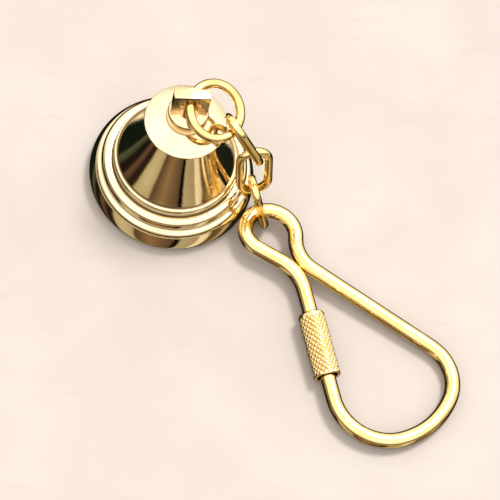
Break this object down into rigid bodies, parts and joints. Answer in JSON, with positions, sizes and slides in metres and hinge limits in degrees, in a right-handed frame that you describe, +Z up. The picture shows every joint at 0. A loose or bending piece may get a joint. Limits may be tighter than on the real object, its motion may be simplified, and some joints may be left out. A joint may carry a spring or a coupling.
{
  "type": "key chain bell",
  "caption": "Small flared bell with a hidden clapper, a pierced crown lug, a jump ring and a short chain to a wire key loop that a sliding sleeve closes.",
  "frame": {"origin": "On the bell's axis, in the plane of its mouth, which stands on the ground.", "axes": "+Z up along the bell's axis, +X across the crown lug's width towards the side where the chain hangs, +Y along the lug's hole, away from the side that the key loop lies on."},
  "size_m": [0.0548, 0.0566, 0.0269],
  "materials": {
    "bell": "polished to a mirror, slightly olive",
    "clapper": "plain turned brass and wire",
    "chain": "polished, warm yellow",
    "key_loop": "polished, warm yellow",
    "sleeve": "diamond knurled, bright"
  },
  "bodies": {
    "bell": {"bell_cup": "bell", "crown_lug": "bell", "crown_nut": "bell"},
    "clapper_ring": {"clapper_ring": "clapper"},
    "clapper": {"clapper_rod": "clapper", "clapper_ball": "clapper"},
    "jump_ring": {"jump_ring": "chain"},
    "link_1": {"chain_link_1": "chain"},
    "link_2": {"chain_link_2": "chain"},
    "link_3": {"chain_link_3": "chain"},
    "key_loop": {"key_loop": "key_loop"},
    "sleeve": {"lock_sleeve": "sleeve"}
  },
  "joints": [
    {"name": "clapper_ring_swing", "type": "hinge", "parent": "bell", "child": "clapper_ring", "pos_m": [0, 0, 0.0142], "axis": [0, 1, 0], "range_deg": [-20, 20]},
    {"name": "clapper_swing", "type": "hinge", "parent": "clapper_ring", "child": "clapper", "pos_m": [0, 0, 0.01166], "axis": [1, 0, 0], "range_deg": [-26, 26]},
    {"name": "ring_swing", "type": "hinge", "parent": "bell", "child": "jump_ring", "pos_m": [0, 0, 0.02453], "axis": [0, -1, 0], "range_deg": [0, 110]},
    {"name": "link_1_swing", "type": "hinge", "parent": "jump_ring", "child": "link_1", "pos_m": [0.00691, -0.00221, 0.02109], "axis": [-0.4814, -0.8714, -0.0949], "range_deg": [0, 40]},
    {"name": "link_2_swing", "type": "hinge", "parent": "link_1", "child": "link_2", "pos_m": [0.01081, -0.00424, 0.01525], "axis": [0.3072, -0.8166, 0.4887], "range_deg": [0, 40]},
    {"name": "link_3_swing", "type": "hinge", "parent": "link_2", "child": "link_3", "pos_m": [0.01137, -0.00558, 0.00788], "axis": [-0.9855, -0.1402, -0.0958], "range_deg": [0, 40]},
    {"name": "key_loop_swing", "type": "hinge", "parent": "link_3", "child": "key_loop", "pos_m": [0.01375, -0.00703, 0.0008], "axis": [0.1383, -0.9602, 0.2427], "range_deg": [0, 48]},
    {"name": "sleeve_slide", "type": "slide", "parent": "key_loop", "child": "sleeve", "axis": [-0.2041, 0.9788, 0.0165], "range_m": [0, 0.0038]}
  ]
}
